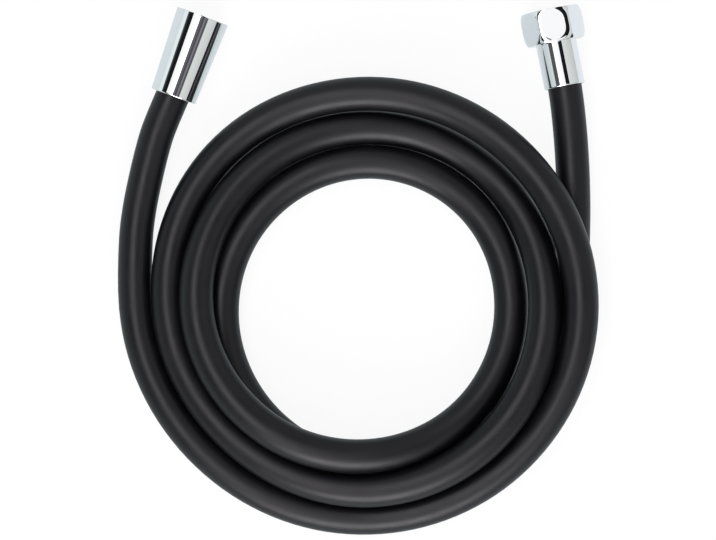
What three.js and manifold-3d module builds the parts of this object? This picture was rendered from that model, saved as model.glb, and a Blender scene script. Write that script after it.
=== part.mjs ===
// A two-metre smooth shower hose, put away in a flat coil. One end has a hexagon nut with a skirt for
// the wall outlet, and the other a tapered nut for the hand shower. Both nuts turn freely on a barbed
// nipple. Millimetres, +Z up. The origin is on the floor, midway between the two nuts.

import * as THREE from 'three';
import { mergeVertices } from 'three/addons/utils/BufferGeometryUtils.js';
import Module from 'manifold-3d';

// Half-inch pipe thread, cut inside both nuts: its crests, and its roots.
const threadMinor = 18.63;
const threadMajor = 20.955;
const threadLength = 8;
const threadLeadIn = 1.2;

// The gap that pieces keep where they meet.
const fitGap = 0.3;

// Hose.
const hoseDiameter = 14.9;
const hoseBore = 9;
const hoseSides = 12;

// Nipple: a flange that the nut pulls on, and a barbed shank inside the hose.
const flangeThickness = 2;
const waterway = 6.4;
const shankLength = 15;
const barbCount = 4;
const barbHeight = 0.5;
const barbGroove = 1.1;

// Cupped sleeve that grips the hose on the shank, and the flat washer in front of the flange.
const ferruleClearance = 0.15;
const ferruleWall = 0.4;
const ferruleLength = 16;
const washerThickness = 2;
const washerBore = 11;

// Wall nut: hexagon bar, crowned over its corners by an arc, and turned down to the skirt.
const hexFlats = 24;
const hexLength = 14.3;
const crownDiameter = 27.8;
const crownRadius = 16.2;
const crownPlace = 6.75;
const skirtWall = 0.6;
const skirtLength = 19.7;

// Hand nut: a plain taper, hollowed out behind its seat.
const handMouthWall = 1.22;
const handTailWall = 1.35;
const handTailRelief = 0.5;
const handSeatThickness = 3;
const handNutLength = 37.3;
const edgeBreak = 0.25;

// Steps round a nut, and round the small pieces inside it.
const nutSteps = 48;
const innerSteps = 32;

// Where the coil's middle lies, and where each nut's open end lies from it. Each nut's lean is the
// angle in plan between its axis and the Y axis.
const coilMiddle = new THREE.Vector3(0.8, -110.4, 0);
const wallNutPlace = [78.5, 129.7];
const wallNutLean = 11.2;
const handNutPlace = [-73, 127.1];
const handNutLean = -20.35;

// The hose's own route, from the wall nut into the coil, and from the coil to the hand nut: points on
// its middle line, seen from the coil's middle.
const fromWallNut = [
  [87.6, 77.3, 8.9],
  [89, 55.5, 7.45],
  [89.1, 33, 7.45],
];
const toHandNut = [
  [-102.5, 29.3, 7.45],
  [-101, 42.5, 7.5],
  [-98.4, 55.6, 7.9],
  [-95.2, 68.7, 8.6],
  [-92.5, 77.5, 9.2],
];

// The coil, one row a turn. Each row reads clockwise in eighths of a turn from the right-hand side:
// how far the middle line is from the coil's middle, and how far it is lifted by what it crosses.
const coilRadius = [
  [87.2, 77.1, 71.2, 67.1, 64.8, 63.9, 63.6, 63],
  [61.9, 62.5, 64.4, 69.5, 75.3, 78.1, 78.6, 78.2],
  [76.1, 77, 79.5, 82, 88, 93.2, 93.1, 92.2],
  [91.7, 91.2, 92.3, 95.8, 102.5],
];
const coilLift = [
  [0, 0, 0, 0, 0, 0, 0, 0],
  [0, 7, 16.3, 17, 13.8, 5.4, 0.8, 1],
  [12.8, 16, 12.9, 6.9, 5.2, 3, 6.4, 12.8],
  [16.2, 7.6, 0, 0, 0],
];
const stepsPerTurn = 18;

// Depths along a fitting, from the nut's open end.
const washerDepth = threadLength + fitGap;
const flangeDepth = washerDepth + washerThickness + fitGap;
const seatDepth = flangeDepth + flangeThickness + fitGap;
const ferruleEnd = seatDepth + ferruleLength;
const hoseDepth = seatDepth + ferruleWall + fitGap;

// Diameters that follow from what fits in what.
const flangeDiameter = threadMinor - 2 * fitGap;
const barbDiameter = hoseBore - 2 * fitGap;
const ferruleBore = hoseDiameter + 2 * ferruleClearance;
const ferruleDiameter = ferruleBore + 2 * ferruleWall;
const nutThroat = ferruleDiameter + 2 * fitGap;
const skirtDiameter = nutThroat + 2 * skirtWall;
const handNutMouth = threadMajor + 2 * handMouthWall;
const handTailBore = nutThroat + 2 * handTailRelief;
const handNutTail = handTailBore + 2 * handTailWall;

const chrome = new THREE.MeshStandardMaterial({ color: 0xd4d8de, roughness: 0.08, metalness: 1 });
const brass = new THREE.MeshStandardMaterial({ color: 0xc79a4b, roughness: 0.3, metalness: 1 });
const steel = new THREE.MeshStandardMaterial({ color: 0xa9abad, roughness: 0.35, metalness: 1 });
const rubber = new THREE.MeshStandardMaterial({ color: 0x2a2a2a, roughness: 0.85, metalness: 0 });
const vinyl = new THREE.MeshStandardMaterial({ color: 0x17171a, roughness: 0.42, metalness: 0 });

const wasm = await Module();
wasm.setup();

// A ring turned about the Y axis. The outline is [diameter, depth] points round its section.
function turned(outline, steps) {
  const section = outline.map(([diameter, depth]) => new THREE.Vector2(diameter / 2, depth));
  section.push(section[0].clone());
  return new THREE.LatheGeometry(section, steps);
}

function toSolid(geometry) {
  const bare = geometry.clone();
  bare.deleteAttribute('normal');
  bare.deleteAttribute('uv');
  const merged = mergeVertices(bare, 1e-4);
  const vertProperties = new Float32Array(merged.attributes.position.array);
  const triVerts = new Uint32Array(merged.index.array);
  return new wasm.Manifold(new wasm.Mesh({ numProp: 3, vertProperties, triVerts }));
}

function toGeometry(solid) {
  const mesh = solid.getMesh();
  const geometry = new THREE.BufferGeometry();
  geometry.setAttribute('position', new THREE.BufferAttribute(mesh.vertProperties, 3));
  geometry.setIndex(new THREE.BufferAttribute(mesh.triVerts, 1));
  geometry.computeVertexNormals();
  return geometry;
}

function piece(name, geometry, material) {
  const mesh = new THREE.Mesh(geometry, material);
  mesh.name = name;
  return mesh;
}

// The front of a nut's inside, from its throat to its mouth: the seat, the relief and the thread.
const seatAndThread = [
  [nutThroat, seatDepth],
  [threadMinor, seatDepth],
  [threadMinor, flangeDepth],
  [threadMajor, flangeDepth - fitGap],
  [threadMajor, threadLength],
  [threadMinor, threadLength - threadLeadIn],
  [threadMinor, threadLeadIn],
  [threadMajor, 0],
];

// Hexagon bar turned to a crown and a skirt.
function wallNutShape() {
  const length = hexLength + skirtLength;
  const crown = [];
  const crownSteps = 8;
  for (let i = 0; i <= crownSteps; i++) {
    const depth = hexLength * i / crownSteps;
    const drop = crownRadius - Math.sqrt(crownRadius ** 2 - (depth - crownPlace) ** 2);
    crown.push([crownDiameter - 2 * drop, depth]);
  }
  const blank = turned([
    ...crown,
    [skirtDiameter, hexLength],
    [skirtDiameter, length - edgeBreak],
    [skirtDiameter - 2 * edgeBreak, length],
    [nutThroat, length],
    ...seatAndThread,
  ], nutSteps);
  const corner = hexFlats / 2 / Math.cos(Math.PI / 6);
  const bar = new THREE.CylinderGeometry(corner, corner, 2 * length, 6);
  bar.rotateY(Math.PI / 6);
  return toGeometry(toSolid(blank).intersect(toSolid(bar)));
}

function handNutShape() {
  return turned([
    [handNutMouth - 2 * edgeBreak, 0],
    [handNutMouth, edgeBreak],
    [handNutTail, handNutLength - edgeBreak],
    [handNutTail - 2 * edgeBreak, handNutLength],
    [handTailBore, handNutLength],
    [handTailBore, seatDepth + handSeatThickness],
    [nutThroat, seatDepth + handSeatThickness],
    ...seatAndThread,
  ], nutSteps);
}

// Flange, and a shank whose barbs point back at the flange.
function insertShape() {
  const outline = [
    [flangeDiameter, flangeDepth],
    [flangeDiameter, flangeDepth + flangeThickness],
  ];
  const barbPitch = shankLength / barbCount;
  const shankStart = flangeDepth + flangeThickness;
  const root = barbDiameter - 2 * barbHeight;
  for (let i = 0; i < barbCount; i++) {
    const start = shankStart + barbPitch * i;
    outline.push([root, start]);
    outline.push([root, start + barbGroove]);
    outline.push([barbDiameter, start + barbGroove]);
  }
  outline.push([root, shankStart + shankLength]);
  outline.push([waterway, shankStart + shankLength]);
  outline.push([waterway, flangeDepth]);
  return turned(outline, innerSteps);
}

function ferruleShape() {
  return turned([
    [ferruleDiameter, seatDepth],
    [ferruleDiameter, ferruleEnd],
    [ferruleBore, ferruleEnd],
    [ferruleBore, seatDepth + ferruleWall],
    [barbDiameter + 2 * fitGap, seatDepth + ferruleWall],
    [barbDiameter + 2 * fitGap, seatDepth],
  ], innerSteps);
}

function washerShape() {
  return turned([
    [flangeDiameter, washerDepth],
    [flangeDiameter, washerDepth + washerThickness],
    [washerBore, washerDepth + washerThickness],
    [washerBore, washerDepth],
  ], innerSteps);
}

// One end of the hose: its nut, nipple, sleeve and washer on one axis, placed by the open end's
// middle. The axis runs from the open end towards the hose.
function fitting(end, nutShape, place, height, lean, fall) {
  const group = new THREE.Group();
  group.add(piece(`${end}_nut`, nutShape, chrome));
  group.add(piece(`${end}_insert`, insertShape(), brass));
  group.add(piece(`${end}_ferrule`, ferruleShape(), steel));
  group.add(piece(`${end}_washer`, washerShape(), rubber));
  const turn = THREE.MathUtils.degToRad(lean);
  const axis = new THREE.Vector3(Math.sin(turn), -Math.cos(turn), -Math.tan(fall)).normalize();
  group.quaternion.setFromUnitVectors(new THREE.Vector3(0, 1, 0), axis);
  group.position.set(place[0], place[1], height);
  group.updateMatrix();
  return group;
}

// The nuts lie on the floor: the hexagon on a flat, and the hand nut on the side of its taper.
const handNutTaper = Math.atan((handNutMouth - handNutTail) / 2 / handNutLength);
const handNutHeight = handNutMouth / 2 * Math.cos(handNutTaper);
const wallEnd = fitting('wall', wallNutShape(), wallNutPlace, hexFlats / 2, wallNutLean, 0);
const handEnd = fitting('hand', handNutShape(), handNutPlace, handNutHeight, handNutLean, handNutTaper);

// The points of the hose's middle line. It is straight in the wall nut's skirt and in both sleeves.
function hoseRoute() {
  const inside = (end, depth) => new THREE.Vector3(0, depth, 0).applyMatrix4(end.matrix);
  const radius = coilRadius.flat();
  const lift = coilLift.flat();
  const eighths = radius.map((value, i) => new THREE.Vector3(i, value, lift[i]));
  const unrolled = new THREE.CatmullRomCurve3(eighths, false, 'catmullrom');
  const steps = Math.round((eighths.length - 1) / 8 * stepsPerTurn);
  const coil = [];
  for (let i = 0; i <= steps; i++) {
    const { x, y, z } = unrolled.getPoint(i / steps);
    const angle = -x * Math.PI / 4;
    coil.push(new THREE.Vector3(y * Math.cos(angle), y * Math.sin(angle), hoseDiameter / 2 + Math.max(z, 0)));
  }
  return [
    inside(wallEnd, hoseDepth),
    inside(wallEnd, hexLength + skirtLength),
    ...fromWallNut.map((point) => new THREE.Vector3(...point)),
    ...coil,
    ...toHandNut.map((point) => new THREE.Vector3(...point)),
    inside(handEnd, ferruleEnd),
    inside(handEnd, hoseDepth),
  ];
}

function ring(diameter) {
  const points = [];
  for (let i = 0; i < hoseSides; i++) {
    const angle = 2 * Math.PI * (i + 0.5) / hoseSides;
    points.push(new THREE.Vector2(diameter / 2 * Math.cos(angle), diameter / 2 * Math.sin(angle)));
  }
  return points;
}

// The hose's section swept along its route, one step for each point, so that neighbouring turns bend
// at the same angles.
function hoseShape() {
  const route = hoseRoute();
  const path = new THREE.CatmullRomCurve3(route);
  path.getPointAt = path.getPoint;
  path.getTangentAt = path.getTangent;
  const section = new THREE.Shape(ring(hoseDiameter));
  section.holes.push(new THREE.Path(ring(hoseBore / Math.cos(Math.PI / hoseSides))));
  return new THREE.ExtrudeGeometry(section, { steps: route.length - 1, extrudePath: path });
}

const showerHose = new THREE.Group();
showerHose.name = 'shower_hose';
showerHose.add(wallEnd, handEnd, piece('hose', hoseShape(), vinyl));
showerHose.position.copy(coilMiddle);

export default showerHose;
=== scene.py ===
import math

import bpy
from mathutils import Matrix, Vector
from mathutils.geometry import interpolate_bezier


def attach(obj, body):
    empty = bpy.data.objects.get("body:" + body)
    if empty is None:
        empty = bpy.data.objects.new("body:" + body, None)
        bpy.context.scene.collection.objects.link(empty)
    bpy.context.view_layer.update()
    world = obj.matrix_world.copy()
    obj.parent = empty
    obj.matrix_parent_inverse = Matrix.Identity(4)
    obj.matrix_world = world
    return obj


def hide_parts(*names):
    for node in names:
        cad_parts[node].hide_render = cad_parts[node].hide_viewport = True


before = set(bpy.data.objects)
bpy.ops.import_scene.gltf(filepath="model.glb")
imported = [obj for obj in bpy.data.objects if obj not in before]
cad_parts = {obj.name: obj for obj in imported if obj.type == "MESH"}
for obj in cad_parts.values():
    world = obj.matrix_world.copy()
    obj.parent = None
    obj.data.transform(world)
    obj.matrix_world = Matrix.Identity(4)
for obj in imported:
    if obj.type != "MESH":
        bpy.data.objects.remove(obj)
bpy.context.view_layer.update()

# Camera. It looks straight down on the hose from a metre and a half above the floor, through a long
# lens, with the wall nut at the upper right and the hand nut at the upper left.
camera_data = bpy.data.cameras.new("camera")
camera_data.sensor_width = 36
camera_data.lens = 171.3
camera_data.clip_end = 30
camera = bpy.data.objects.new("camera", camera_data)
camera.location = (-0.0044, -0.0942, 1.5)
bpy.context.collection.objects.link(camera)
bpy.context.scene.camera = camera
bpy.context.scene.view_settings.view_transform = "Standard"

# Hose. One smooth tube of black soft PVC, two metres long, wound in three and three quarter turns,
# each turn lying on the ones that it crosses. It is swept along its middle line at its outside
# diameter, and its wall is then given inwards, so that both ends stay open for the nipples.
hose_diameter = 14.9
hose_bore = 9.0

# Sizes are written in millimetres, and the scene itself is in metres.
mm = 0.001

# The middle of the coil, then its turns from the wall nut to the hand nut. Each row reads clockwise
# in eighths of a turn from the right-hand side: how far the line is from the middle, and its lift.
coil_middle = Vector((0.8, -110.4, 0))
coil_radius = [
    87.2, 77.1, 71.2, 67.1, 64.8, 63.9, 63.6, 63,
    61.9, 62.5, 64.4, 69.5, 75.3, 78.1, 78.6, 78.2,
    76.1, 77, 79.5, 82, 88, 93.2, 93.1, 92.2,
    91.7, 91.2, 92.3, 95.8, 102.5,
]
coil_lift = [
    0, 0, 0, 0, 0, 0, 0, 0,
    0, 7, 16.3, 17, 13.8, 5.4, 0.8, 1,
    12.8, 16, 12.9, 6.9, 5.2, 3, 6.4, 12.8,
    16.2, 7.6, 0, 0, 0,
]
from_wall_nut = [(87.6, 77.3, 8.9), (89, 55.5, 7.45), (89.1, 33, 7.45)]
to_hand_nut = [
    (-102.5, 29.3, 7.45), (-101, 42.5, 7.5), (-98.4, 55.6, 7.9),
    (-95.2, 68.7, 8.6), (-92.5, 77.5, 9.2),
]

# Where each nut's open end lies, and the way its axis runs from there into the hose. The wall nut lies
# on one of its flats, and the hand nut on its taper, which tips it down a little.
hex_flats = 24.0
hand_nut_mouth = 23.395
hand_nut_tail = 20.3
hand_nut_length = 37.3
wall_lean = math.radians(11.2)
hand_lean = math.radians(20.35)
hand_tip = math.atan2(hand_nut_mouth - hand_nut_tail, 2 * hand_nut_length)
wall_mouth = Vector((79.3, 19.3, hex_flats / 2))
wall_axis = Vector((math.sin(wall_lean), -math.cos(wall_lean), 0))
hand_mouth = Vector((-72.2, 16.7, hand_nut_mouth / 2 * math.cos(hand_tip)))
hand_axis = Vector((-math.sin(hand_lean), -math.cos(hand_lean), -math.tan(hand_tip))).normalized()

# Depths in a fitting, from the nut's open end.
hose_depth = 13.6
wall_nut_length = 34.0
ferrule_end = 28.9

# How many steps the smooth line takes from each of its points to the next.
line_steps = 4


def smooth_line(points, steps, evenness):
    """A smooth line through the points. Evenness 0 takes them as evenly spaced, 0.5 by their gaps."""
    before_first = 2 * points[0] - points[1]
    after_last = 2 * points[-1] - points[-2]
    ends = [before_first, *points, after_last]
    line = [points[0]]
    for a, b, c, d in zip(ends, ends[1:], ends[2:], ends[3:]):
        before = (b - a).length ** evenness
        between = (c - b).length ** evenness
        after = (d - c).length ** evenness
        leave = (b - a) / before - (c - a) / (before + between) + (c - b) / between
        arrive = (c - b) / between - (d - b) / (between + after) + (d - c) / after
        first_handle = b + leave * between / 3
        second_handle = c - arrive * between / 3
        line += interpolate_bezier(b, first_handle, second_handle, c, steps + 1)[1:]
    return line


eighths = [Vector((i, radius, coil_lift[i])) for i, radius in enumerate(coil_radius)]
coil = []
for eighth, radius, lift in smooth_line(eighths, line_steps, 0):
    turn = -eighth * math.pi / 4
    height = hose_diameter / 2 + max(lift, 0)
    coil.append(coil_middle + Vector((radius * math.cos(turn), radius * math.sin(turn), height)))

hose_knots = [
    wall_mouth + wall_axis * hose_depth,
    wall_mouth + wall_axis * wall_nut_length,
    *(coil_middle + Vector(point) for point in from_wall_nut),
    *coil,
    *(coil_middle + Vector(point) for point in to_hand_nut),
    hand_mouth + hand_axis * ferrule_end,
    hand_mouth + hand_axis * hose_depth,
]
hose_route = [point * mm for point in smooth_line(hose_knots, line_steps, 0.5)]


def select_only(obj):
    """Leaves this one object selected and active."""
    bpy.ops.object.select_all(action="DESELECT")
    obj.select_set(True)
    bpy.context.view_layer.objects.active = obj


hose_curve = bpy.data.curves.new("hose_tube", "CURVE")
hose_curve.dimensions = "3D"
hose_curve.bevel_depth = hose_diameter / 2 * mm
hose_curve.bevel_resolution = 16
hose_spline = hose_curve.splines.new("POLY")
hose_spline.points.add(len(hose_route) - 1)
for point, place in zip(hose_spline.points, hose_route):
    point.co = (*place, 1)
hose = bpy.data.objects.new("hose_tube", hose_curve)
bpy.context.collection.objects.link(hose)
select_only(hose)
bpy.ops.object.convert(target="MESH")

# Every point keeps its place on the hose as it came straight off the extruder, so that the marks of
# the extruding run round the coil with it.
hose_sides = len(hose.data.vertices) // len(hose_route)
drawn = [0.0]
for start, end in zip(hose_route, hose_route[1:]):
    drawn.append(drawn[-1] + (end - start).length)
straight = hose.data.attributes.new("straight_place", "FLOAT_VECTOR", "POINT")
for i, item in enumerate(straight.data):
    side = 2 * math.pi * (i % hose_sides) / hose_sides
    out = hose_diameter / 2 * mm
    item.vector = (out * math.cos(side), out * math.sin(side), drawn[i // hose_sides])

wall = hose.modifiers.new("wall", "SOLIDIFY")
wall.thickness = (hose_diameter - hose_bore) / 2 * mm
wall.offset = -1
bpy.ops.object.modifier_apply(modifier="wall")
bpy.ops.object.shade_smooth_by_angle(angle=math.radians(50))


def add(tree, kind, **settings):
    """Adds a node, with its settings and the values of its inputs."""
    node = tree.nodes.new(kind)
    for name, value in settings.items():
        if name in node.inputs:
            node.inputs[name].default_value = value
        else:
            setattr(node, name, value)
    return node


def add_group(name, inputs, outputs):
    """A node group with these sockets, and its own two ends."""
    group = bpy.data.node_groups.new(name, "ShaderNodeTree")
    for socket, kind in inputs.items():
        group.interface.new_socket(socket, in_out="INPUT", socket_type="NodeSocket" + kind)
    for socket, kind in outputs.items():
        group.interface.new_socket(socket, in_out="OUTPUT", socket_type="NodeSocket" + kind)
    return group, add(group, "NodeGroupInput"), add(group, "NodeGroupOutput")


def use_group(tree, group, **values):
    """Places a node group in a material, with its own values."""
    node = add(tree, "ShaderNodeGroup", node_tree=group)
    for name, value in values.items():
        node.inputs[name].default_value = value
    return node


# In a mix node, input 0 is the share of the second value. Numbers go in at 2 and 3 and come out at 0,
# and colours go in at 6 and 7 and come out at 2.

# The skin of soft plastic and rubber: clouded a little in colour and in gloss, with a fine grain.
soft_skin, given, made = add_group(
    "soft_skin",
    {"Place": "Vector", "Dark": "Color", "Light": "Color", "Glossier": "Float", "Duller": "Float"},
    {"Colour": "Color", "Roughness": "Float", "Grain": "Float"},
)
clouds = add(soft_skin, "ShaderNodeTexNoise", Scale=90.0, Detail=3.0, Roughness=0.6)
grain = add(soft_skin, "ShaderNodeTexNoise", Scale=2600.0, Detail=2.0, Roughness=0.5)
tone = add(soft_skin, "ShaderNodeMapRange")
tone.inputs["From Min"].default_value = 0.3
tone.inputs["From Max"].default_value = 0.7
colour = add(soft_skin, "ShaderNodeMix", data_type="RGBA")
gloss = add(soft_skin, "ShaderNodeMix")
soft_skin.links.new(given.outputs["Place"], clouds.inputs["Vector"])
soft_skin.links.new(given.outputs["Place"], grain.inputs["Vector"])
soft_skin.links.new(clouds.outputs["Fac"], tone.inputs["Value"])
soft_skin.links.new(tone.outputs["Result"], colour.inputs[0])
soft_skin.links.new(given.outputs["Dark"], colour.inputs[6])
soft_skin.links.new(given.outputs["Light"], colour.inputs[7])
soft_skin.links.new(tone.outputs["Result"], gloss.inputs[0])
soft_skin.links.new(given.outputs["Glossier"], gloss.inputs[2])
soft_skin.links.new(given.outputs["Duller"], gloss.inputs[3])
soft_skin.links.new(colour.outputs[2], made.inputs["Colour"])
soft_skin.links.new(gloss.outputs[0], made.inputs["Roughness"])
soft_skin.links.new(grain.outputs["Fac"], made.inputs["Grain"])

# Fine lines drawn out lengthwise, as an extruder's or a drawing die leaves them.
drawn_lines, given, made = add_group(
    "drawn_lines", {"Place": "Vector", "Length": "Vector"}, {"Lines": "Float"}
)
stretched = add(drawn_lines, "ShaderNodeVectorMath", operation="MULTIPLY")
lines = add(drawn_lines, "ShaderNodeTexNoise", Scale=1.0, Detail=4.0, Roughness=0.65)
drawn_lines.links.new(given.outputs["Place"], stretched.inputs[0])
drawn_lines.links.new(given.outputs["Length"], stretched.inputs[1])
drawn_lines.links.new(stretched.outputs[0], lines.inputs["Vector"])
drawn_lines.links.new(lines.outputs["Fac"], made.inputs["Lines"])

# Its black is deep, with a sheen that is a little violet.
vinyl = bpy.data.materials.new("black_vinyl")
vinyl.use_nodes = True
tree = vinyl.node_tree
shader = tree.nodes["Principled BSDF"]
shader.inputs["Specular IOR Level"].default_value = 0.345
shader.inputs["Specular Tint"].default_value = (0.99, 0.955, 1, 1)
place = add(tree, "ShaderNodeAttribute", attribute_name="straight_place")
skin = use_group(
    tree, soft_skin,
    Dark=(0.0012, 0.0011, 0.0019, 1), Light=(0.0026, 0.0024, 0.0036, 1), Glossier=0.38, Duller=0.46,
)
die_lines = use_group(tree, drawn_lines, Length=(850, 850, 5))
relief = add(tree, "ShaderNodeMath", operation="MULTIPLY_ADD")
relief.inputs[1].default_value = 0.25
bump = add(tree, "ShaderNodeBump", Strength=0.5, Distance=0.03 * mm)
tree.links.new(place.outputs["Vector"], skin.inputs["Place"])
tree.links.new(place.outputs["Vector"], die_lines.inputs["Place"])
tree.links.new(skin.outputs["Grain"], relief.inputs[0])
tree.links.new(die_lines.outputs["Lines"], relief.inputs[2])
tree.links.new(relief.outputs[0], bump.inputs["Height"])
tree.links.new(skin.outputs["Colour"], shader.inputs["Base Color"])
tree.links.new(skin.outputs["Roughness"], shader.inputs["Roughness"])
tree.links.new(bump.outputs["Normal"], shader.inputs["Normal"])
hose.data.materials.clear()
hose.data.materials.append(vinyl)
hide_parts("hose")
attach(hose, "hose_line")


# Wall nut. Turned from 24 mm hexagon bar, polished until its flats run softly into the crown, and
# chromed. It is spun from its outline, and the flats and the thread are then pressed into the rings.
thread_minor = 18.63
thread_major = 20.955
thread_length = 8
thread_lead_in = 1.2
thread_runout = 0.3
thread_pitch = 1.814
thread_ring_gap = 0.13
flange_depth = 10.6
seat_depth = 12.9
nut_throat = 16.6
nut_steps = 288
edge_break = 0.25
end_rounding = 0.5
hex_length = 14.3
skirt_diameter = 17.8


def turned(name, outline, steps):
    """A closed ring turned about the Y axis from an outline of (diameter, depth) points."""
    points = [Vector((diameter / 2, depth, 0)) for diameter, depth in outline]
    bpy.ops.object.select_all(action="DESELECT")
    bpy.ops.mesh.primitive_plane_add(size=1)
    obj = bpy.context.object
    obj.name = name
    obj.data.name = name
    bpy.ops.object.mode_set(mode="EDIT")
    bpy.ops.mesh.merge(type="CENTER")
    bpy.ops.transform.translate(value=points[0])
    for start, end in zip(points, points[1:] + points[:1]):
        bpy.ops.mesh.extrude_region_move(TRANSFORM_OT_translate={"value": end - start})
    bpy.ops.mesh.select_all(action="SELECT")
    bpy.ops.mesh.remove_doubles(threshold=0.0001)
    bpy.ops.mesh.spin(steps=steps, angle=2 * math.pi, center=(0, 0, 0), axis=(0, 1, 0))
    bpy.ops.mesh.select_all(action="SELECT")
    bpy.ops.mesh.remove_doubles(threshold=0.001)
    bpy.ops.mesh.normals_make_consistent(inside=False)
    bpy.ops.object.mode_set(mode="OBJECT")
    return obj


def finely(start, end, pitch):
    """The points from one point of an outline to the next, about this far apart, without the last."""
    count = max(1, round(abs(end[1] - start[1]) / pitch))
    return [tuple(Vector(start).lerp(Vector(end), i / count)) for i in range(count)]


def seat_on(obj, mouth, axis):
    """Places a turned piece on its fitting's axis, in metres. Its points keep their place on the
    lathe, which the marks of turning and polishing follow."""
    lathe = obj.data.attributes.new("lathe_place", "FLOAT_VECTOR", "POINT")
    for item, vertex in zip(lathe.data, obj.data.vertices):
        item.vector = vertex.co * mm
    side = axis.cross(Vector((0, 0, 1))).normalized()
    up = side.cross(axis)
    turn = Matrix((side, axis, up)).transposed().to_4x4()
    obj.data.transform(Matrix.Translation(mouth * mm) @ turn @ Matrix.Scale(mm, 4))
    select_only(obj)
    bpy.ops.object.shade_smooth_by_angle(angle=math.radians(40))


def rounded_end(diameter, depth):
    """The outline over a nut's tail, rounded by a quarter circle."""
    outline = []
    for angle in (0, 12, 25, 40, 55, 72, 90):
        inwards = end_rounding * (1 - math.cos(math.radians(angle)))
        short = end_rounding * (1 - math.sin(math.radians(angle)))
        outline.append((diameter - 2 * inwards, depth - short))
    return outline


def soft_min(a, b, blend):
    """The smaller of two lengths, with a smooth change from one to the other."""
    step = max(blend - abs(a - b), 0) / blend
    return min(a, b) - step * step * blend / 4


# How steeply the thread's flanks rise in one pitch, and how far they would rise at its middle if the
# crest weren't flat, both as parts of the thread's depth.
flank_rise = 4.2
flank_meeting = 1.35


def cut_thread(obj):
    """Presses the half-inch pipe thread into the bore between the mouth and the relief."""
    for vertex in obj.data.vertices:
        x, depth, z = vertex.co
        radius = math.hypot(x, z)
        if depth > thread_length - thread_runout or radius > thread_major / 2 - 0.01:
            continue
        turns = math.atan2(z, x) / (2 * math.pi)
        phase = (depth / thread_pitch - turns) % 1
        ridge = min(1, max(0, flank_meeting - flank_rise * abs(phase - 0.5)))
        crest = thread_minor / 2 + (thread_major - thread_minor) / 2 * (1 - ridge)
        grown = max(radius, crest)
        vertex.co.x *= grown / radius
        vertex.co.z *= grown / radius


# The inside of either nut, from the seat that takes the nipple's flange, out to the mouth.
thread_end = (thread_minor, thread_length - thread_lead_in)
thread_start = (thread_minor, thread_lead_in)
thread_outline = [
    (nut_throat, seat_depth),
    (thread_minor, seat_depth),
    (thread_minor, flange_depth),
    (thread_major, flange_depth - 0.3),
    (thread_major, thread_length),
    *finely(thread_end, thread_start, thread_ring_gap),
    *finely(thread_start, (thread_major, 0), thread_ring_gap),
]

# The crown is nearly straight round its middle, and falls off towards both ends of the hexagon.
crown_diameter = 27.5
crown_middle = 7
crown_fall = 0.0037
crown_steps = 44
crown_outline = []
for i in range(crown_steps + 1):
    depth = edge_break + (hex_length - 2 * edge_break) * i / crown_steps
    drop = crown_fall * abs(depth - crown_middle) ** 3
    crown_outline.append((crown_diameter - 2 * drop, depth))

wall_nut = turned("wall_nut_chromed", [
    (thread_major + 0.5, 0),
    (crown_outline[0][0] - 0.7, 0),
    (crown_outline[0][0] - 0.2, 0.08),
    *crown_outline,
    (crown_outline[-1][0] - 0.2, hex_length - 0.08),
    (crown_outline[-1][0] - 0.7, hex_length),
    (skirt_diameter + 0.5, hex_length),
    (skirt_diameter + 0.1, hex_length + 0.07),
    (skirt_diameter, hex_length + 0.25),
    (skirt_diameter, hex_length + 0.45),
    (skirt_diameter, wall_nut_length - 0.8),
    *rounded_end(skirt_diameter, wall_nut_length),
    (nut_throat + 0.1, wall_nut_length),
    (nut_throat, wall_nut_length - 0.1),
    *thread_outline,
], nut_steps)

# The flats: how much the bar's corners are softened, how softly its flats run into the crown, and the
# radius up to which the nut's bore and end faces keep their rings.
corner_softness = 0.3
polish_softness = 0.9
flats_from = 11.2
for vertex in wall_nut.data.vertices:
    x, depth, z = vertex.co
    radius = math.hypot(x, z)
    if depth > hex_length or radius < flats_from:
        continue
    turn = math.degrees(math.atan2(x, z)) % 60
    near_flat = hex_flats / 2 / math.cos(math.radians(turn))
    next_flat = hex_flats / 2 / math.cos(math.radians(60 - turn))
    bar = soft_min(near_flat, next_flat, corner_softness)
    pressed = soft_min(bar, radius, polish_softness)
    vertex.co.x *= pressed / radius
    vertex.co.z *= pressed / radius
cut_thread(wall_nut)
seat_on(wall_nut, wall_mouth, wall_axis)

# The rings that a lathe leaves, round the bore and across the faces alike.
lathe_rings, given, made = add_group(
    "lathe_rings", {"Place": "Vector", "Pitch": "Float"}, {"Rings": "Float"}
)
parts = add(lathe_rings, "ShaderNodeSeparateXYZ")
across = add(lathe_rings, "ShaderNodeVectorMath", operation="MULTIPLY")
across.inputs[1].default_value = (1, 0, 1)
out = add(lathe_rings, "ShaderNodeVectorMath", operation="LENGTH")
along = add(lathe_rings, "ShaderNodeMath", operation="ADD")
spaced = add(lathe_rings, "ShaderNodeMath", operation="DIVIDE")
rings = add(lathe_rings, "ShaderNodeTexNoise", noise_dimensions="1D", Scale=1.0, Detail=3.0)
lathe_rings.links.new(given.outputs["Place"], parts.inputs[0])
lathe_rings.links.new(given.outputs["Place"], across.inputs[0])
lathe_rings.links.new(across.outputs[0], out.inputs[0])
lathe_rings.links.new(parts.outputs["Y"], along.inputs[0])
lathe_rings.links.new(out.outputs["Value"], along.inputs[1])
lathe_rings.links.new(along.outputs[0], spaced.inputs[0])
lathe_rings.links.new(given.outputs["Pitch"], spaced.inputs[1])
lathe_rings.links.new(spaced.outputs[0], rings.inputs["W"])
lathe_rings.links.new(rings.outputs["Fac"], made.inputs["Rings"])

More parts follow.
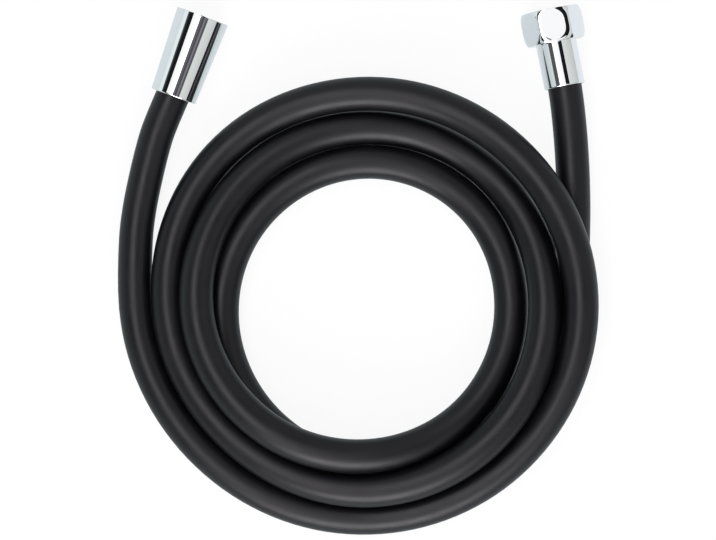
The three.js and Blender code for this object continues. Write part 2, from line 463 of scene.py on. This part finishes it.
# The dulling that hands leave on bright metal: soft smears, and a few hairlines across them.
handling, given, made = add_group(
    "handling", {"Place": "Vector", "Clean": "Float", "Smeared": "Float"}, {"Roughness": "Float"}
)
smears = add(handling, "ShaderNodeTexNoise", Scale=140.0, Detail=3.0, Roughness=0.55)
smeared = add(handling, "ShaderNodeMapRange")
smeared.inputs["From Min"].default_value = 0.42
smeared.inputs["From Max"].default_value = 0.72
slanted = add(handling, "ShaderNodeMapping")
slanted.inputs["Rotation"].default_value = (0.5, 0.3, 0.7)
slanted.inputs["Scale"].default_value = (110, 5200, 700)
scratches = add(handling, "ShaderNodeTexNoise", Scale=1.0, Detail=1.0)
hairlines = add(handling, "ShaderNodeMapRange")
hairlines.inputs["From Min"].default_value = 0.68
hairlines.inputs["From Max"].default_value = 0.74
dulled = add(handling, "ShaderNodeMath", operation="MAXIMUM")
gloss = add(handling, "ShaderNodeMix")
handling.links.new(given.outputs["Place"], smears.inputs["Vector"])
handling.links.new(given.outputs["Place"], slanted.inputs["Vector"])
handling.links.new(slanted.outputs[0], scratches.inputs["Vector"])
handling.links.new(smears.outputs["Fac"], smeared.inputs["Value"])
handling.links.new(scratches.outputs["Fac"], hairlines.inputs["Value"])
handling.links.new(smeared.outputs["Result"], dulled.inputs[0])
handling.links.new(hairlines.outputs["Result"], dulled.inputs[1])
handling.links.new(dulled.outputs[0], gloss.inputs[0])
handling.links.new(given.outputs["Clean"], gloss.inputs[2])
handling.links.new(given.outputs["Smeared"], gloss.inputs[3])
handling.links.new(gloss.outputs[0], made.inputs["Roughness"])


def turned_metal(name, clean, smeared, pitch, ring_height):
    """A metal that was turned on a lathe and handled, still without its colour."""
    material = bpy.data.materials.new(name)
    material.use_nodes = True
    tree = material.node_tree
    shader = tree.nodes["Principled BSDF"]
    shader.inputs["Metallic"].default_value = 1
    place = add(tree, "ShaderNodeAttribute", attribute_name="lathe_place")
    touched = use_group(tree, handling, Clean=clean, Smeared=smeared)
    marks = use_group(tree, lathe_rings, Pitch=pitch)
    bump = add(tree, "ShaderNodeBump", Strength=1.0, Distance=ring_height)
    tree.links.new(place.outputs["Vector"], touched.inputs["Place"])
    tree.links.new(place.outputs["Vector"], marks.inputs["Place"])
    tree.links.new(touched.outputs["Roughness"], shader.inputs["Roughness"])
    tree.links.new(marks.outputs["Rings"], bump.inputs["Height"])
    tree.links.new(bump.outputs["Normal"], shader.inputs["Normal"])
    return material, tree, shader, place


chrome, _, shader, _ = turned_metal(
    "chrome", clean=0.025, smeared=0.045, pitch=0.5 * mm, ring_height=0.0008 * mm
)
shader.inputs["Base Color"].default_value = (0.82, 0.83, 0.84, 1)

# Plating throws badly into a bore, so the threads are duller, and the brass shows through deeper in.
bore_plating, tree, shader, place = turned_metal(
    "bore_plating", clean=0.2, smeared=0.34, pitch=0.3 * mm, ring_height=0.006 * mm
)
deep = add(tree, "ShaderNodeSeparateXYZ")
thin = add(tree, "ShaderNodeMapRange")
thin.inputs["From Min"].default_value = 1 * mm
thin.inputs["From Max"].default_value = 11 * mm
patchy = add(tree, "ShaderNodeTexNoise", Scale=420.0, Detail=3.0)
worn = add(tree, "ShaderNodeMath", operation="MULTIPLY")
shown = add(tree, "ShaderNodeMix", data_type="RGBA")
shown.inputs[6].default_value = (0.6, 0.59, 0.56, 1)
shown.inputs[7].default_value = (0.62, 0.46, 0.22, 1)
tree.links.new(place.outputs["Vector"], deep.inputs[0])
tree.links.new(place.outputs["Vector"], patchy.inputs["Vector"])
tree.links.new(deep.outputs["Y"], thin.inputs["Value"])
tree.links.new(thin.outputs["Result"], worn.inputs[0])
tree.links.new(patchy.outputs["Fac"], worn.inputs[1])
tree.links.new(worn.outputs[0], shown.inputs[0])
tree.links.new(shown.outputs[2], shader.inputs["Base Color"])


def plate(obj, mouth, axis):
    """Chromes a nut. The faces of its bore, from the thread to the tail, get the thinner plating."""
    obj.data.materials.append(chrome)
    obj.data.materials.append(bore_plating)
    widest = (thread_major / 2 + 0.1) * mm
    for face in obj.data.polygons:
        from_mouth = face.center - mouth * mm
        outwards = from_mouth - axis * from_mouth.dot(axis)
        facing_in = face.normal.dot(outwards) < 0
        if facing_in and outwards.length < widest:
            face.material_index = 1


plate(wall_nut, wall_mouth, wall_axis)
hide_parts("wall_nut")
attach(wall_nut, "wall_swivel")


# Hand nut. A plain taper that is turned by hand, hollowed out behind its seat so that it can swivel
# on the hose, and chromed all over. It is spun from its outline, with its thread cut the same way.
hand_tail_bore = 17.6
hand_seat_thickness = 3
mouth_rounding = 0.3
taper = (hand_nut_mouth - hand_nut_tail) / (hand_nut_length - mouth_rounding - end_rounding)

hand_nut = turned("hand_nut_chromed", [
    (thread_major + 0.5, 0),
    (hand_nut_mouth - 0.6, 0),
    (hand_nut_mouth - 0.15, 0.08),
    (hand_nut_mouth, mouth_rounding),
    (hand_nut_mouth - taper * 0.2, mouth_rounding + 0.2),
    (hand_nut_tail + taper * 0.3, hand_nut_length - end_rounding - 0.3),
    *rounded_end(hand_nut_tail, hand_nut_length),
    (hand_tail_bore + 2 * edge_break, hand_nut_length),
    (hand_tail_bore, hand_nut_length - edge_break),
    (hand_tail_bore, seat_depth + hand_seat_thickness),
    (nut_throat, seat_depth + hand_seat_thickness),
    *thread_outline,
], nut_steps)
cut_thread(hand_nut)
seat_on(hand_nut, hand_mouth, hand_axis)
plate(hand_nut, hand_mouth, hand_axis)
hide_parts("hand_nut")
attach(hand_nut, "hand_swivel")


# Nipples. One in each end of the hose, turned from brass: a flange that the nut pulls up against the
# washer, and a shank with four barbs that the hose is pushed over.
flange_diameter = 18.03
waterway = 6.4
barb_diameter = 8.4
barb_root = 7.4
barb_count = 4
barb_pitch = 3.75
barb_groove = 1.1
shank_start = 12.6
inner_steps = 96

nipple_outline = [
    (waterway + 0.8, flange_depth),
    (flange_diameter - 0.4, flange_depth),
    (flange_diameter, flange_depth + 0.2),
    (flange_diameter, shank_start - 0.2),
    (flange_diameter - 0.4, shank_start),
]
for i in range(barb_count):
    barb_start = shank_start + barb_pitch * i
    nipple_outline += [
        (barb_root, barb_start + 0.05),
        (barb_root, barb_start + barb_groove),
        (barb_diameter - 0.1, barb_start + barb_groove),
        (barb_diameter, barb_start + barb_groove + 0.1),
    ]
shank_end = shank_start + barb_count * barb_pitch
nipple_outline += [
    (barb_root, shank_end),
    (waterway, shank_end),
    (waterway, flange_depth + 0.4),
]

brass, tree, shader, place = turned_metal(
    "turned_brass", clean=0.2, smeared=0.34, pitch=0.25 * mm, ring_height=0.008 * mm
)
tarnish = add(tree, "ShaderNodeTexNoise", Scale=260.0, Detail=4.0)
toned = add(tree, "ShaderNodeMix", data_type="RGBA")
toned.inputs[6].default_value = (0.82, 0.64, 0.34, 1)
toned.inputs[7].default_value = (0.66, 0.47, 0.22, 1)
tree.links.new(place.outputs["Vector"], tarnish.inputs["Vector"])
tree.links.new(tarnish.outputs["Fac"], toned.inputs[0])
tree.links.new(toned.outputs[2], shader.inputs["Base Color"])


def fit_inside(name, outline, material):
    """Turns a small inner piece and its copy, and seats one on each end of the hose."""
    wall_piece = turned("wall_" + name, outline, inner_steps)
    hand_piece = wall_piece.copy()
    hand_piece.data = wall_piece.data.copy()
    hand_piece.name = "hand_" + name
    bpy.context.collection.objects.link(hand_piece)
    seat_on(wall_piece, wall_mouth, wall_axis)
    seat_on(hand_piece, hand_mouth, hand_axis)
    for piece in (wall_piece, hand_piece):
        piece.data.materials.append(material)
        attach(piece, "hose_line")
    return wall_piece, hand_piece


wall_nipple, hand_nipple = fit_inside("nipple", nipple_outline, brass)
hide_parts("wall_insert")
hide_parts("hand_insert")


# Sleeves. Thin stainless cups that grip the hose on each nipple, drawn from sheet, and squeezed in
# three rings after the nipple is in. Each one's end is turned in behind the nipple's flange.
ferrule_diameter = 16.0
ferrule_bore = 15.2
ferrule_wall = 0.4
ferrule_neck = 9.0
draw_radius = 0.25
ring_places = (17.5, 21.2, 24.9)
ring_width = 1.2
ring_squeeze = 0.24

sleeve_outline = [(ferrule_neck, seat_depth), (ferrule_diameter - 2 * draw_radius, seat_depth)]
for i in range(4):
    turn = i * math.pi / 6
    inwards = draw_radius * (1 - math.sin(turn))
    behind = draw_radius * (1 - math.cos(turn))
    sleeve_outline.append((ferrule_diameter - 2 * inwards, seat_depth + behind))
for ring_place in ring_places:
    for i in range(9):
        squeeze = ring_squeeze / 2 * (1 - math.cos(i * math.pi / 4))
        sleeve_outline.append((ferrule_diameter - squeeze, ring_place + ring_width * (i - 4) / 8))
sleeve_outline += [
    (ferrule_diameter, ferrule_end - 0.1),
    (ferrule_diameter - 0.2, ferrule_end),
    (ferrule_bore + 0.1, ferrule_end),
    (ferrule_bore, ferrule_end - 0.05),
    (ferrule_bore, seat_depth + ferrule_wall),
    (ferrule_neck, seat_depth + ferrule_wall),
]

steel, tree, shader, place = turned_metal(
    "drawn_steel", clean=0.24, smeared=0.36, pitch=0.4 * mm, ring_height=0.003 * mm
)
draw_lines = use_group(tree, drawn_lines, Length=(1800, 30, 1800))
toned = add(tree, "ShaderNodeMix", data_type="RGBA")
toned.inputs[6].default_value = (0.52, 0.52, 0.53, 1)
toned.inputs[7].default_value = (0.68, 0.68, 0.69, 1)
tree.links.new(place.outputs["Vector"], draw_lines.inputs["Place"])
tree.links.new(draw_lines.outputs["Lines"], toned.inputs[0])
tree.links.new(toned.outputs[2], shader.inputs["Base Color"])

wall_sleeve, hand_sleeve = fit_inside("sleeve", sleeve_outline, steel)
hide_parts("wall_ferrule")
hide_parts("hand_ferrule")


# Washers. Flat rings of moulded black rubber, one in front of each flange, which seal the joint when
# the nut is tightened.
washer_depth = 8.3
washer_thickness = 2.0
washer_bore = 11.0

rubber = bpy.data.materials.new("black_rubber")
rubber.use_nodes = True
tree = rubber.node_tree
shader = tree.nodes["Principled BSDF"]
shader.inputs["Specular IOR Level"].default_value = 0.4
place = add(tree, "ShaderNodeAttribute", attribute_name="lathe_place")
skin = use_group(
    tree, soft_skin,
    Dark=(0.014, 0.014, 0.014, 1), Light=(0.026, 0.026, 0.025, 1), Glossier=0.5, Duller=0.7,
)
bump = add(tree, "ShaderNodeBump", Strength=0.6, Distance=0.04 * mm)
tree.links.new(place.outputs["Vector"], skin.inputs["Place"])
tree.links.new(skin.outputs["Colour"], shader.inputs["Base Color"])
tree.links.new(skin.outputs["Roughness"], shader.inputs["Roughness"])
tree.links.new(skin.outputs["Grain"], bump.inputs["Height"])
tree.links.new(bump.outputs["Normal"], shader.inputs["Normal"])

washer_back = washer_depth + washer_thickness
wall_washer, hand_washer = fit_inside("washer_ring", [
    (washer_bore + 0.4, washer_depth),
    (flange_diameter - 0.5, washer_depth),
    (flange_diameter - 0.1, washer_depth + 0.2),
    (flange_diameter, washer_depth + washer_thickness / 2),
    (flange_diameter - 0.1, washer_back - 0.2),
    (flange_diameter - 0.5, washer_back),
    (washer_bore + 0.4, washer_back),
    (washer_bore, washer_back - 0.3),
    (washer_bore, washer_depth + 0.3),
], rubber)
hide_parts("wall_washer")
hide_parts("hand_washer")


# Studio. The hose lies on white paper, under two soft lamps. What the chrome shows are the cloths round
# it: a white one far overhead, with a dark and a striped one at its right and a dark one at its left, a
# small white one low beside the wall nut, a dark flag at the right and a pale cloth at the left.
def cloth(name, rows):
    """A cloth that only glows, out of the camera's sight. Each row of it gives its left end, its right
    end and the shades between them."""
    mesh = bpy.data.meshes.new(name)
    points = []
    shades = []
    for left, right, row_shades in rows:
        for i, shade in enumerate(row_shades):
            points.append(Vector(left).lerp(Vector(right), i / (len(row_shades) - 1)))
            shades.append(shade)
    across = len(rows[0][2])
    faces = []
    for row in range(len(rows) - 1):
        for i in range(across - 1):
            corner = row * across + i
            faces.append((corner, corner + 1, corner + across + 1, corner + across))
    mesh.from_pydata(points, [], faces)
    dye = mesh.attributes.new("shade", "FLOAT_COLOR", "POINT")
    for item, shade in zip(dye.data, shades):
        item.color = (*shade, 1)
    material = bpy.data.materials.new(name)
    material.use_nodes = True
    tree = material.node_tree
    tree.nodes.clear()
    dyed = add(tree, "ShaderNodeAttribute", attribute_name="shade")
    glow = add(tree, "ShaderNodeEmission")
    output = add(tree, "ShaderNodeOutputMaterial")
    tree.links.new(dyed.outputs["Color"], glow.inputs["Color"])
    tree.links.new(glow.outputs[0], output.inputs["Surface"])
    mesh.materials.append(material)
    obj = bpy.data.objects.new(name, mesh)
    bpy.context.collection.objects.link(obj)
    obj.visible_camera = False


# The far cloths hang at this height above a point near the middle of the hose, one layer over another.
cloth_height = 12
cloth_middle = -0.09
layer_gap = 0.01


def overhead(x, y, layer=0):
    """A point of a far cloth, by the way that it is seen from the hose: the slope along X and Y."""
    return (x * cloth_height, y * cloth_height + cloth_middle, cloth_height + layer_gap * layer)


white = [(1.14, 1.14, 1.14)] * 2
cloth("white_cloth", [
    (overhead(-0.5, -2.0), overhead(0.35, -2.0), white),
    (overhead(-0.5, -0.9), overhead(0.3, -1.0), white),
    (overhead(-0.482, -0.37), overhead(0.12, -0.42), white),
    (overhead(-0.515, -0.2), overhead(-0.125, -0.2), white),
    (overhead(-0.54, -0.075), overhead(-0.078, -0.075), white),
    (overhead(-0.541, -0.07), overhead(0.13, -0.065), white),
    (overhead(-0.561, 0.03), overhead(0.105, 0.01), white),
    (overhead(-0.757, 0.076), overhead(0.093, 0.08), white),
    (overhead(-0.684, 0.27), overhead(0.07, 0.3), white),
    (overhead(-0.571, 0.576), overhead(0.07, 0.576), white),
    (overhead(-0.5, 1.1), overhead(0.1, 1.1), white),
])

black_dye = (0.012, 0.012, 0.014)
black = [black_dye] * 2
cloth("right_black_cloth", [
    (overhead(-0.02, -0.08, 1), overhead(0.57, -0.3, 1), black),
    (overhead(-0.02, 0.0, 1), overhead(0.531, 0.0, 1), black),
    (overhead(-0.02, 0.3, 1), overhead(0.471, 0.3, 1), black),
    (overhead(-0.02, 0.576, 1), overhead(0.417, 0.576, 1), black),
    (overhead(-0.02, 1.1, 1), overhead(0.6, 1.1, 1), black),
])

stripes = [
    (0.03, 0.03, 0.035), (0.16, 0.15, 0.18), (0.06, 0.06, 0.07),
    (0.27, 0.26, 0.29), (0.07, 0.07, 0.08), (0.2, 0.2, 0.22),
]
cloth("striped_cloth", [
    (overhead(-0.155, -0.17, 2), overhead(0.5, -0.42, 2), stripes),
    (overhead(-0.085, 0.01, 2), overhead(0.56, -0.24, 2), stripes),
])

wide_black = [black_dye] * 6
wide_grey = [(0.1, 0.1, 0.1)] * 6
green_edged = [(0.4, 0.47, 0.45), (0.09, 0.13, 0.115), (0.03, 0.04, 0.035), *[black_dye] * 3]
cloth("left_dark_cloth", [
    (overhead(-2.6, -2.0, 3), overhead(-0.3, -2.0, 3), wide_black),
    (overhead(-2.4, -1.2, 3), overhead(-0.3, -1.2, 3), wide_black),
    (overhead(-2.2, -0.6, 3), overhead(-0.3, -0.6, 3), wide_black),
    (overhead(-1.25, -0.4, 3), overhead(-0.3, -0.37, 3), wide_grey),
    (overhead(-1.224, -0.17, 3), overhead(-0.3, -0.17, 3), wide_grey),
    (overhead(-1.252, -0.03, 3), overhead(-0.3, -0.03, 3), wide_grey),
    (overhead(-2.2, 0.03, 3), overhead(-0.3, 0.03, 3), wide_grey),
    (overhead(-2.18, 0.076, 3), overhead(-0.65, 0.076, 3), green_edged),
    (overhead(-2.11, 0.27, 3), overhead(-0.578, 0.27, 3), green_edged),
    (overhead(-2.0, 0.57, 3), overhead(-0.465, 0.576, 3), green_edged),
    (overhead(-1.8, 1.1, 3), overhead(-0.4, 1.1, 3), green_edged),
])
cloth("near_white_cloth", [
    (overhead(0.0, -1.2, 3), overhead(0.45, -1.2, 3), white),
    (overhead(0.0, -0.3, 3), overhead(0.45, -0.42, 3), white),
])
cloth("low_white_cloth", [
    ((0.0816, -0.068, 0.25), (0.172, -0.068, 0.25), white),
    ((0.0816, -0.008, 0.25), (0.172, -0.03, 0.25), white),
])
cloth("right_flag", [
    ((2.49, -1.68, 0), (2.97, -0.42, 0), [(0.2, 0.2, 0.23)] * 2),
    ((2.49, -1.68, 0.3), (2.97, -0.42, 0.3), [(0.03, 0.03, 0.035)] * 2),
    ((2.49, -1.68, 0.93), (2.97, -0.42, 0.93), black),
])
cloth("left_pale_cloth", [
    ((-3.3, 0.5, 0), (-2.4, 1.9, 0), [(0.72, 0.79, 0.8)] * 2),
    ((-3.3, 0.5, 0.5), (-2.4, 1.9, 0.5), [(0.86, 0.95, 0.97)] * 2),
    ((-3.3, 0.5, 1.6), (-2.4, 1.9, 1.6), [(0.97, 1.05, 1.05)] * 2),
])


lamps_face = Vector((0, -0.1, 0))


def hang_lamp(name, place, size, power):
    """A soft lamp, turned towards the coil, that the camera doesn't see."""
    data = bpy.data.lights.new(name, "AREA")
    data.shape = "RECTANGLE"
    data.size, data.size_y = size
    data.energy = power
    lamp = bpy.data.objects.new(name, data)
    lamp.location = place
    lamp.rotation_euler = (lamps_face - lamp.location).to_track_quat("-Z", "Y").to_euler()
    lamp.visible_camera = False
    bpy.context.collection.objects.link(lamp)


hang_lamp("near_lamp", place=(-0.1, -1.5, 0.8), size=(1.2, 0.8), power=22)
hang_lamp("top_lamp", place=(-0.84, -0.1, 3), size=(3.4, 0.7), power=34)

# The paper shows white to the camera but keeps the shadows, above all the deep ones between the turns,
# where it doesn't glow at all: in a ring of this radius and half width round the coil's middle. In the
# chrome it shows a painted glow of pale blue, with painted shade that keeps it darker on the left and
# lighter on the right.
ring_radius = 78 * mm
ring_half_width = 10 * mm
bpy.ops.object.select_all(action="DESELECT")
bpy.ops.mesh.primitive_plane_add(size=12)
floor = bpy.context.object
floor.name = "floor"
floor_white = bpy.data.materials.new("floor_white")
floor_white.use_nodes = True
tree = floor_white.node_tree
tree.nodes.clear()
paths = add(tree, "ShaderNodeLightPath")
spot = add(tree, "ShaderNodeTexCoord")
from_middle = add(tree, "ShaderNodeVectorMath", operation="DISTANCE")
from_middle.inputs[1].default_value = coil_middle * mm
off_turns = add(tree, "ShaderNodeMath", operation="SUBTRACT")
off_turns.inputs[1].default_value = ring_radius
either_side = add(tree, "ShaderNodeMath", operation="ABSOLUTE")
open_paper = add(tree, "ShaderNodeMapRange")
open_paper.inputs["From Min"].default_value = ring_half_width
open_paper.inputs["From Max"].default_value = ring_half_width + 4 * mm
open_paper.inputs["To Max"].default_value = 0.9
seen = add(tree, "ShaderNodeMath", operation="MULTIPLY")
mirrored = add(tree, "ShaderNodeMath", operation="MULTIPLY")
mirrored.inputs[1].default_value = 0.8
share = add(tree, "ShaderNodeMath", operation="MAXIMUM")
sides = add(tree, "ShaderNodeSeparateXYZ")
side = add(tree, "ShaderNodeMapRange")
side.inputs["From Min"].default_value = 50 * mm
side.inputs["From Max"].default_value = 100 * mm
# Painted shade in the paper's glow seen in the chrome: bluer and darker on the left, lighter on the
# right.
painted_glow_in_chrome = add(tree, "ShaderNodeMix", data_type="RGBA")
painted_glow_in_chrome.inputs[6].default_value = (0.7, 0.78, 0.81, 1)
painted_glow_in_chrome.inputs[7].default_value = (0.85, 0.91, 0.96, 1)
shown = add(tree, "ShaderNodeMix", data_type="RGBA")
shown.inputs[6].default_value = (1, 1, 1, 1)
paper = add(tree, "ShaderNodeBsdfDiffuse", Color=(0.9, 0.9, 0.9, 1))
glow = add(tree, "ShaderNodeEmission", Strength=1.0)
mix = add(tree, "ShaderNodeMixShader")
output = add(tree, "ShaderNodeOutputMaterial")
tree.links.new(spot.outputs["Object"], from_middle.inputs[0])
tree.links.new(from_middle.outputs["Value"], off_turns.inputs[0])
tree.links.new(off_turns.outputs[0], either_side.inputs[0])
tree.links.new(either_side.outputs[0], open_paper.inputs["Value"])
tree.links.new(paths.outputs["Is Camera Ray"], seen.inputs[0])
tree.links.new(open_paper.outputs["Result"], seen.inputs[1])
tree.links.new(paths.outputs["Is Glossy Ray"], mirrored.inputs[0])
tree.links.new(seen.outputs[0], share.inputs[0])
tree.links.new(mirrored.outputs[0], share.inputs[1])
tree.links.new(spot.outputs["Object"], sides.inputs[0])
tree.links.new(sides.outputs["X"], side.inputs["Value"])
tree.links.new(side.outputs["Result"], painted_glow_in_chrome.inputs[0])
tree.links.new(paths.outputs["Is Glossy Ray"], shown.inputs[0])
tree.links.new(painted_glow_in_chrome.outputs[2], shown.inputs[7])
tree.links.new(shown.outputs[2], glow.inputs["Color"])
tree.links.new(share.outputs[0], mix.inputs[0])
tree.links.new(paper.outputs[0], mix.inputs[1])
tree.links.new(glow.outputs[0], mix.inputs[2])
tree.links.new(mix.outputs[0], output.inputs["Surface"])
floor.data.materials.append(floor_white)

# The walls of the studio are pale, lighter towards the top, and a little greener on the left.
world = bpy.data.worlds.new("studio")
bpy.context.scene.world = world
world.use_nodes = True
tree = world.node_tree
background = tree.nodes["Background"]
paths = add(tree, "ShaderNodeLightPath")
way = add(tree, "ShaderNodeTexCoord")
parts = add(tree, "ShaderNodeSeparateXYZ")
side = add(tree, "ShaderNodeMapRange")
side.inputs["From Min"].default_value = -0.7
side.inputs["From Max"].default_value = 0.7
low = add(tree, "ShaderNodeMix", data_type="RGBA")
low.inputs[6].default_value = (0.62, 0.68, 0.69, 1)
low.inputs[7].default_value = (0.6, 0.63, 0.61, 1)
high = add(tree, "ShaderNodeMix", data_type="RGBA")
high.inputs[6].default_value = (0.84, 0.94, 0.94, 1)
high.inputs[7].default_value = (0.84, 0.86, 0.84, 1)
walls = add(tree, "ShaderNodeMix", data_type="RGBA")
tint = add(tree, "ShaderNodeMix", data_type="RGBA")
tint.inputs[7].default_value = (1, 1, 1, 1)
tree.links.new(way.outputs["Generated"], parts.inputs[0])
tree.links.new(parts.outputs["X"], side.inputs["Value"])
tree.links.new(side.outputs["Result"], low.inputs[0])
tree.links.new(side.outputs["Result"], high.inputs[0])
tree.links.new(parts.outputs["Z"], walls.inputs[0])
tree.links.new(low.outputs[2], walls.inputs[6])
tree.links.new(high.outputs[2], walls.inputs[7])
tree.links.new(walls.outputs[2], tint.inputs[6])
tree.links.new(paths.outputs["Is Camera Ray"], tint.inputs[0])
tree.links.new(tint.outputs[2], background.inputs["Color"])
